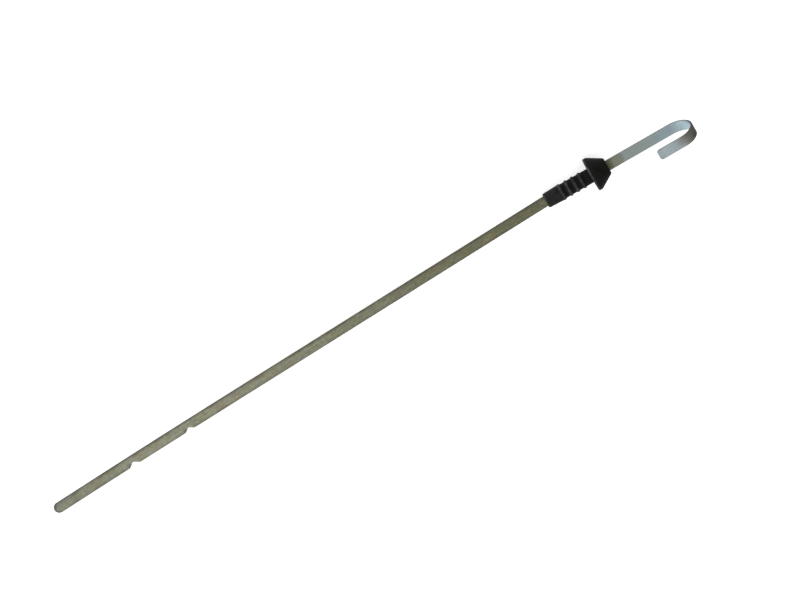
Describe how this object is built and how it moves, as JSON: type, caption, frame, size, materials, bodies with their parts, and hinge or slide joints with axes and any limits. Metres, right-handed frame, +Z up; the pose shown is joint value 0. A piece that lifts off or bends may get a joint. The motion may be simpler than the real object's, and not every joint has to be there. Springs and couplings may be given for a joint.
{
  "type": "engine oil dipstick",
  "caption": "Engine oil dipstick: a flat steel strip with a round tip and level notches, a ribbed rubber stopper with a conical cap, and an open hook handle.",
  "frame": {"origin": "middle of the box round the part, on the surface that it lies on", "axes": "+X along the part from its round tip to its hook, +Z up from the surface that it lies on, out of the strip's face on the hook's side"},
  "size_m": [0.3986, 0.019, 0.0335],
  "materials": {
    "blade": "zinc-plated rolled strip with fine lengthwise lines",
    "stopper": "satin moulded black rubber"
  },
  "bodies": {
    "root": {"blade": "blade", "stopper": "stopper"}
  },
  "joints": []
}
